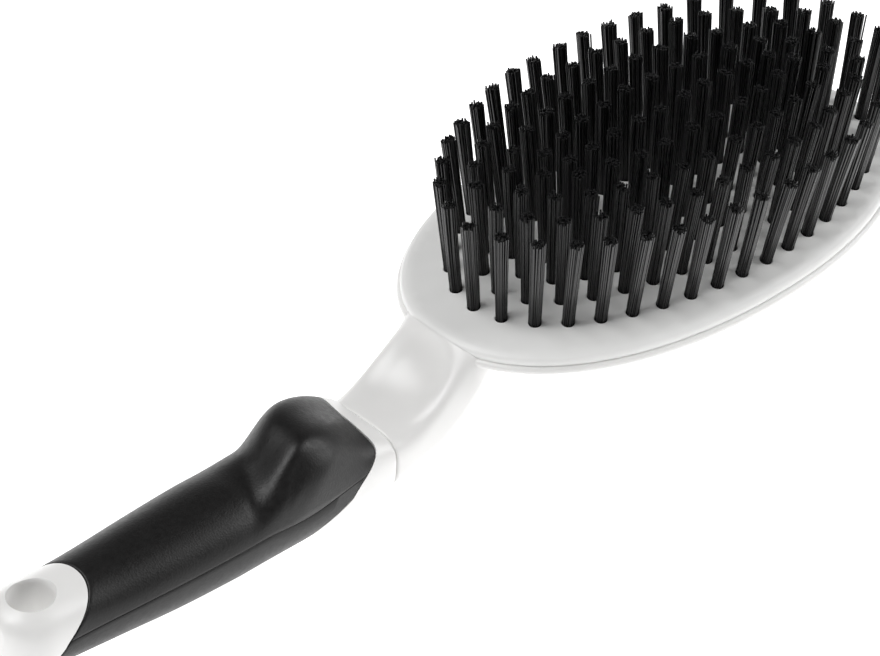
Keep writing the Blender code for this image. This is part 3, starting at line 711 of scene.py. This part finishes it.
def neck_section(point, forward, half_width, half_height, dish, squareness, taper=0.0):
    """Rounded bar section square to the path, narrower and hollowed along its top."""
    side = Vector((-forward.y, forward.x))
    count = UPPER_POINTS + LOWER_POINTS
    ring = []
    for i in range(count):
        t = 2 * math.pi * (i + 0.5) / count
        power = squareness + (NECK_EDGE_CRISPNESS * dish / NECK_DISH if math.sin(t) > 0 else 0.0)
        y = half_width * rounded(power, math.cos(t))
        v = half_height * rounded(power, math.sin(t))
        if v > 0:
            fall = dish * hump(y, half_width * NECK_DISH_SHARE)
            y *= 1 - taper * v / half_height
            v -= fall
        spot = point + v * side
        ring.append(Vector((spot.x, y, spot.y)))
    return ring


def make_neck(material):
    """Swan neck: rounded at the seam, dished along its top, and flared into the head."""
    level = Vector((1.0, 0.0))
    rings = []
    for inset, run in quarter(SEAM_STEPS):
        place = Vector((SEAM_X + run * SEAM_ROUNDING, NECK_AXIS_Z))
        rings.append(neck_section(place, level, NECK_HALF_WIDTH - inset * SEAM_ROUNDING,
                                  NECK_HALF_HEIGHT - inset * SEAM_ROUNDING, 0.0, NECK_SQUARENESS))
    for i in range(1, NECK_STATIONS):
        share = i / (NECK_STATIONS - 1)
        point, forward = neck_path(share)
        width = NECK_HALF_WIDTH + (NECK_HEAD_HALF_WIDTH - NECK_HALF_WIDTH) * share
        width += NECK_FLARE * hump(share - 1, NECK_FLARE_SHARE)
        height = NECK_HALF_HEIGHT + (NECK_HEAD_HALF_HEIGHT - NECK_HALF_HEIGHT) * share
        squareness = NECK_SQUARENESS + (NECK_HEAD_SQUARENESS - NECK_SQUARENESS) * share
        dish = NECK_DISH * math.sin(math.pi * share) ** 2
        taper = NECK_TAPER * share ** 2
        rings.append(neck_section(point, forward, width, height, dish, squareness, taper))
    root = Vector((NECK_ROOT_X, NECK_ROOT_Z))
    rings.append(neck_section(root, level, NECK_HEAD_HALF_WIDTH, NECK_ROOT_HALF_HEIGHT, 0.0,
                              NECK_HEAD_SQUARENESS, NECK_TAPER))
    return loft("neck", rings, material)


def make_shell(material):
    """Oval back with a rounded lip, and the swan neck that grows out of its heel."""
    lip_under = LEDGE_Z - LIP_HEIGHT
    rows = [outline(LEDGE_WIDTH, CAVITY_FLOOR_Z), outline(LEDGE_WIDTH, LEDGE_Z)]
    for inset, run in quarter(LIP_STEPS):
        rows.append(outline(LIP_ROUNDING * inset, LEDGE_Z - LIP_ROUNDING * run))
    for inset, run in quarter(LIP_STEPS)[::-1]:
        rows.append(outline(LIP_ROUNDING * inset, lip_under + LIP_ROUNDING * run))
    lip_length = HEAD_HALF_LENGTH - LIP_ROUNDING
    lip_width = HEAD_HALF_WIDTH - LIP_ROUNDING
    last = len(BACK_CURVE) - 1
    for i in range(1, BACK_STEPS + 1):
        share, depth = spline(BACK_CURVE, last * i / BACK_STEPS)
        rows.append(oval(LAND_HALF_LENGTH + (lip_length - LAND_HALF_LENGTH) * share,
                         LAND_HALF_WIDTH + (lip_width - LAND_HALF_WIDTH) * share,
                         lip_under + (BACK_TRIM - BACK_DEPTH - lip_under) * depth))
    seat = loft("seat", [outline(PLATE_INSET - RIM_GAP, z) for z in (OVERRUN, LEDGE_Z)], material)
    levels = (LEDGE_Z + OVERRUN, CAVITY_FLOOR_Z)
    well = loft("well", [outline(LEDGE_WIDTH, z) for z in levels], material)
    shell = combined(loft("moulded_shell", rows, material),
                     [(make_neck(material), "UNION"), (seat, "DIFFERENCE"), (well, "DIFFERENCE")])
    return finish_piece(shell)


def lean_at(along):
    """How a station leans: its lead on top, its trail underneath, their rounding, and its dip."""
    front = (FRONT_LEAN, FRONT_TRAIL, FRONT_ROUNDING, 0.0)
    rear = (REAR_LEAN, REAR_TRAIL, 0.0, REAR_DIP)
    if along < GRIP_FRONT:
        return [value * along / GRIP_FRONT for value in front]
    if along > GRIP_REAR:
        return [value * (HANDLE_LENGTH - along) / TAIL_LENGTH for value in rear]
    share = (along - GRIP_FRONT) / (GRIP_REAR - GRIP_FRONT)
    return [near + (far - near) * share for near, far in zip(front, rear)]


def handle_point(station, turn, inset=0.0, plain=False):
    """Point of the handle's surface on a leaning station, turned round from the far flank."""
    lean, trail, rounding, dip = lean_at(station)
    lift = math.sin(turn) + dip
    lift /= 1 + math.copysign(dip, lift)
    along = station - lift * (1 + rounding * (1 - lift * lift)) * (lean if lift > 0 else trail)
    height = math.sin(turn)
    place = min(along, TAIL_HOLE_X) / HANDLE_LENGTH
    drop, width, rise, fall, squareness = spline(HANDLE_SHARES, place)
    squeeze = 1.0
    if along > TAIL_HOLE_X:
        beyond = (along - TAIL_HOLE_X) / (HANDLE_LENGTH - TAIL_HOLE_X)
        squeeze = math.sqrt(max(1 - beyond ** 2, 0.0))
    reach = HANDLE_RISE * rise if height > 0 else HANDLE_FALL * fall
    if not plain and height > 0:
        offset = along - REST_CENTRE + REST_LEAN * math.cos(turn)
        thumb = hump(offset, REST_FRONT_LENGTH if offset < 0 else REST_BACK_LENGTH)
        reach += REST_HEIGHT * thumb
        offset = along - CREASE_CENTRE - CREASE_SLANT * (turn - CREASE_TURN)
        ball = eased(0.5 + offset / CREASE_STEP_LENGTH) * eased((turn - FLANK_TURN) / FLANK_BLEND)
        squareness += REST_SQUARENESS * thumb * (1 - ball)
        reach_round = CREASE_UPPER_TURN if turn < CREASE_TURN else CREASE_LOWER_TURN
        crease = hump(offset, CREASE_HALF_LENGTH) * hump(turn - CREASE_TURN, reach_round)
        scoop = hump(along - SCOOP_CENTRE, SCOOP_HALF_LENGTH)
        inset += CREASE_DEPTH * crease
        inset += SCOOP_DEPTH * scoop * hump(turn - SCOOP_TURN, SCOOP_HALF_TURN)
    y = rounded(squareness, math.cos(turn)) * (HANDLE_HALF_WIDTH * width * squeeze - inset)
    v = rounded(squareness, height) * (reach * math.sqrt(squeeze) - inset)
    return Vector((SEAM_X - along, y, v - HANDLE_DROP * drop))


def turn_at_level(station, level, low, high):
    """Turn on one flank, between low and high, at which the handle's surface is at a level."""
    rising = handle_point(station, high).z > handle_point(station, low).z
    for _ in range(LEVEL_HALVINGS):
        middle = (low + high) / 2
        if (handle_point(station, middle).z < level) == rising:
            low = middle
        else:
            high = middle
    return (low + high) / 2


def plain_turns():
    count = UPPER_POINTS + LOWER_POINTS
    return [2 * math.pi * (i + 0.5) / count for i in range(count)]


def handle_ring(station, inset=0.0, plain=False):
    return [handle_point(station, turn, inset, plain) for turn in plain_turns()]


def grip_ring(station, inset=0.0):
    """Ring of the grip with a fine groove where the parting line crosses each flank."""
    rise = hump(station - GRIP_FRONT, PARTING_RISE_LENGTH)
    dip = hump(station - PARTING_DIP_PLACE, PARTING_DIP_LENGTH)
    level = PARTING_Z + PARTING_LIFT * (rise - dip)
    marks = [level + PARTING_WIDTH * share for share, _ in PARTING_SHARES]
    sinks = [PARTING_DEPTH * depth for _, depth in PARTING_SHARES]
    far = [turn_at_level(station, mark, 0.0, math.pi / 2) for mark in marks]
    near = [turn_at_level(station, mark, math.pi / 2, math.pi) for mark in marks[::-1]]
    points = [handle_point(station, turn, inset + sink) for turn, sink in zip(far, sinks)]
    for i in range(1, UPPER_POINTS):
        turn = far[-1] + (near[0] - far[-1]) * i / UPPER_POINTS
        points.append(handle_point(station, turn, inset))
    points += [handle_point(station, turn, inset + sink) for turn, sink in zip(near, sinks)]
    for i in range(1, LOWER_POINTS):
        turn = near[-1] + (2 * math.pi + far[0] - near[-1]) * i / LOWER_POINTS
        points.append(handle_point(station, turn, inset))
    return points


def make_grip(material):
    """Soft sleeve with a raised thumb rest, a flat flank before it, and rolled edges."""
    front = GRIP_FRONT + GRIP_END_GAP
    rear = GRIP_REAR - GRIP_END_GAP
    inner = GRIP_THICKNESS - CLEARANCE
    roll = GRIP_EDGE_ROLL
    edge = quarter(GRIP_EDGE_STEPS)
    rings = [grip_ring(front, inner)]
    rings += [grip_ring(front + run * roll, inset * roll) for inset, run in edge]
    for i in range(1, GRIP_STATIONS):
        share = (i / GRIP_STATIONS) ** GRIP_CROWDING
        rings.append(grip_ring(front + roll + (rear - front - 2 * roll) * share))
    rings += [grip_ring(rear - run * roll, inset * roll) for inset, run in edge[::-1]]
    rings.append(grip_ring(rear, inner))
    return finish_piece(loft("soft_grip", rings, material, closed=True), GRIP_SMOOTH_ANGLE)


def make_hang_hole(material):
    """Cutter for the round hole through the tail, its rims rolled over into the surface."""
    drop, _, rise, fall, _ = spline(HANDLE_SHARES, TAIL_HOLE_X / HANDLE_LENGTH)
    top = HANDLE_RISE * rise
    low = -HANDLE_FALL * fall
    lip = quarter(TAIL_LIP_STEPS)
    rolled = [(TAIL_HOLE_LIP * run, TAIL_HOLE_LIP * inset) for inset, run in lip]
    rows = [(top + OVERRUN, TAIL_HOLE_LIP + OVERRUN)]
    rows += [(top - depth, flare) for depth, flare in rolled]
    rows += [(low + depth, flare) for depth, flare in rolled[::-1]]
    rows.append((low - OVERRUN, TAIL_HOLE_LIP + OVERRUN))
    rings = []
    for height, flare in rows:
        radius = TAIL_HOLE_RADIUS + flare
        turns = [2 * math.pi * i / TAIL_HOLE_SIDES for i in range(TAIL_HOLE_SIDES)]
        rings.append([Vector((SEAM_X - TAIL_HOLE_X + radius * math.cos(t), radius * math.sin(t),
                              height - HANDLE_DROP * drop)) for t in turns])
    return loft("hang_hole", rings, material)


def make_core(material):
    """Collar, spine and rounded tail in one moulding, with the hanging hole."""
    front = CLEARANCE
    rings = [handle_ring(front + run * SEAM_ROUNDING, inset * SEAM_ROUNDING)
             for inset, run in quarter(SEAM_STEPS)]
    start = front + SEAM_ROUNDING
    for i in range(1, COLLAR_STATIONS + 1):
        rings.append(handle_ring(start + (GRIP_FRONT - start) * i / COLLAR_STATIONS))
    spine = GRIP_REAR - GRIP_FRONT
    for i in range(SPINE_STEPS + 1):
        rings.append(handle_ring(GRIP_FRONT + spine * i / SPINE_STEPS, GRIP_THICKNESS, True))
    rings.append(handle_ring(GRIP_REAR))
    for i in range(1, TAIL_STATIONS + 1):
        share = math.sin(math.pi / 2 * TAIL_CROWDING * i / TAIL_STATIONS)
        rings.append(handle_ring(GRIP_REAR + (TAIL_END - GRIP_REAR) * share))
    core = loft("handle_moulding", rings, material)
    return finish_piece(combined(core, [(make_hang_hole(material), "DIFFERENCE")]))


# The object

def stand_for(piece, node):
    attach(piece, "root")
    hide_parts(node)


shell_white = white_plastic("satin_white", SHELL_WHITE, roughness=0.30, grain=0.00002)
plate_white = white_plastic("matt_white_plate", PLATE_WHITE, roughness=0.42, grain=0.00003)
grip_black = soft_rubber("soft_touch_black")
filament_black = nylon("black_filament")

rings = tuft_places()
stand_for(make_shell(shell_white), "head_shell")
stand_for(make_plate(rings, plate_white), "bristle_plate")
stand_for(make_core(shell_white), "handle_core")
stand_for(make_grip(grip_black), "grip_sleeve")

chance = random.Random(FILAMENT_SEED)
for k, places in enumerate(rings):
    node = "tufts_middle_row" if k == RING_COUNT else "tufts_ring_%d" % (k + 1)
    stand_for(make_tufts(node + "_filaments", places, filament_black, chance), node)


# Stage, light and camera

def make_floor():
    bm = bmesh.new()
    bmesh.ops.create_grid(bm, x_segments=1, y_segments=1, size=FLOOR_HALF_SIZE)
    mesh = bpy.data.meshes.new("studio_floor")
    bm.to_mesh(mesh)
    bm.free()
    item = bpy.data.objects.new("studio_floor", mesh)
    item.location.z = -FLOOR_DROP
    material, _, shader = shader_of("pale_floor", (0.5, 0.5, 0.5), roughness=0.9)
    shader.inputs["Specular IOR Level"].default_value = 0.1
    shader.inputs["Emission Color"].default_value = (1.0, 1.0, 1.0, 1.0)
    shader.inputs["Emission Strength"].default_value = FLOOR_GLOW
    mesh.materials.append(material)
    bpy.context.scene.collection.objects.link(item)
    return item


def soft_box(name, place, power):
    data = bpy.data.lights.new(name, "AREA")
    data.shape = "RECTANGLE"
    data.size = LIGHT_SIZE
    data.size_y = LIGHT_SIZE
    data.energy = power
    item = bpy.data.objects.new(name, data)
    item.location = place
    aim = Vector(LIGHT_TARGET) - Vector(place)
    item.rotation_euler = aim.to_track_quat("-Z", "Y").to_euler()
    bpy.context.scene.collection.objects.link(item)


def make_studio():
    """Pale sweep at the horizon that darkens overhead."""
    world = bpy.data.worlds.new("studio")
    world.use_nodes = True
    tree = world.node_tree
    split = tree.nodes.new("ShaderNodeSeparateXYZ")
    direction = tree.nodes.new("ShaderNodeTexCoord").outputs["Generated"]
    tree.links.new(direction, split.inputs["Vector"])
    glow = spread(tree, split.outputs["Z"], HORIZON_GLOW, OVERHEAD_GLOW, *GLOW_FALL)
    tree.links.new(glow, tree.nodes["Background"].inputs["Strength"])
    tree.nodes["Background"].inputs["Color"].default_value = (1.0, 1.0, 1.0, 1.0)
    bpy.context.scene.world = world


make_floor()
make_studio()
bpy.context.scene.view_settings.view_transform = "Standard"
for name, place, power in LIGHTS:
    soft_box(name, place, power)

camera_data = bpy.data.cameras.new("photo_camera")
camera_data.lens = CAMERA_LENS
camera_data.sensor_width = CAMERA_SENSOR
camera_data.clip_end = CAMERA_REACH
camera = bpy.data.objects.new("photo_camera", camera_data)
up = CAMERA_RIGHT.cross(CAMERA_FORWARD)
turn = Matrix((CAMERA_RIGHT, up, -CAMERA_FORWARD)).transposed().to_4x4()
camera.matrix_world = HEAD @ Matrix.Translation(CAMERA_PLACE) @ turn
bpy.context.scene.collection.objects.link(camera)
bpy.context.scene.camera = camera
